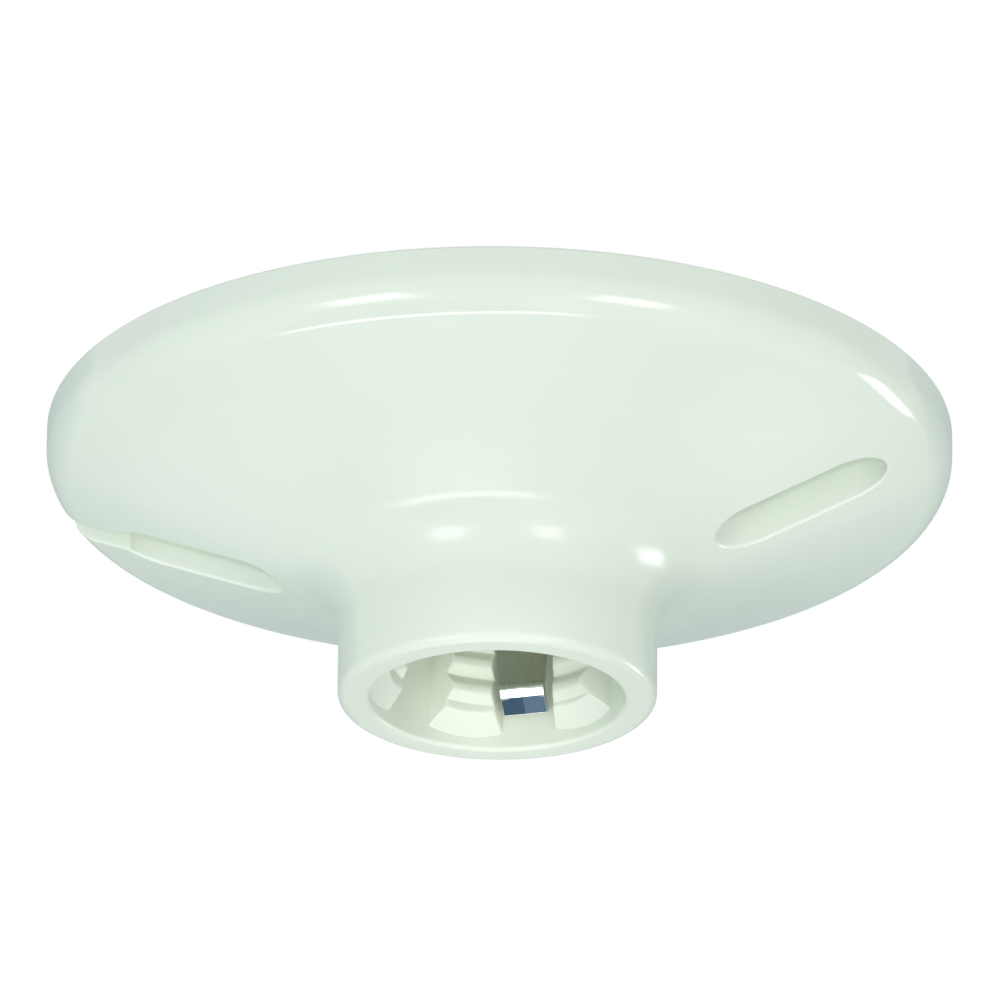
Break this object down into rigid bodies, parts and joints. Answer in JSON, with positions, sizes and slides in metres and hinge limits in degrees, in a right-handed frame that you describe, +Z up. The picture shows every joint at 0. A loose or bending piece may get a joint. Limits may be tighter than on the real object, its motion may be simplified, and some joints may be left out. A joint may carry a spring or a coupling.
{
  "type": "ceiling lamp holder",
  "caption": "Round white plastic ceiling lamp holder with a sloped plate, slotted screw pockets and a short collar holding moulded thread pads, a spring side contact and screw terminals.",
  "frame": {"origin": "centre of the back face, midway between the fixing slots", "axes": "+Z up to the ceiling along the socket, +X towards the closed slot, +Y towards the side contact"},
  "size_m": [0.1142, 0.1142, 0.0364],
  "materials": {
    "white_plastic": "gloss",
    "nickel_strip": "bright nickel plate",
    "brass_strip": "bright",
    "nickel_screw": "bright nickel plate",
    "brass_screw": "satin",
    "brass_rivet": "satin"
  },
  "bodies": {
    "holder": {"holder_body": "white_plastic", "side_contact": "nickel_strip", "centre_contact": "brass_strip", "side_contact_rivet": "brass_rivet", "centre_contact_rivet": "brass_rivet"},
    "neutral_screw": {"neutral_terminal_screw": "nickel_screw"},
    "hot_screw": {"hot_terminal_screw": "brass_screw"}
  },
  "joints": [
    {"name": "neutral_screw_travel", "type": "slide", "parent": "holder", "child": "neutral_screw", "axis": [0, 0, 1], "range_m": [0, 0.003]},
    {"name": "hot_screw_travel", "type": "slide", "parent": "holder", "child": "hot_screw", "axis": [0, 0, 1], "range_m": [0, 0.003]}
  ]
}
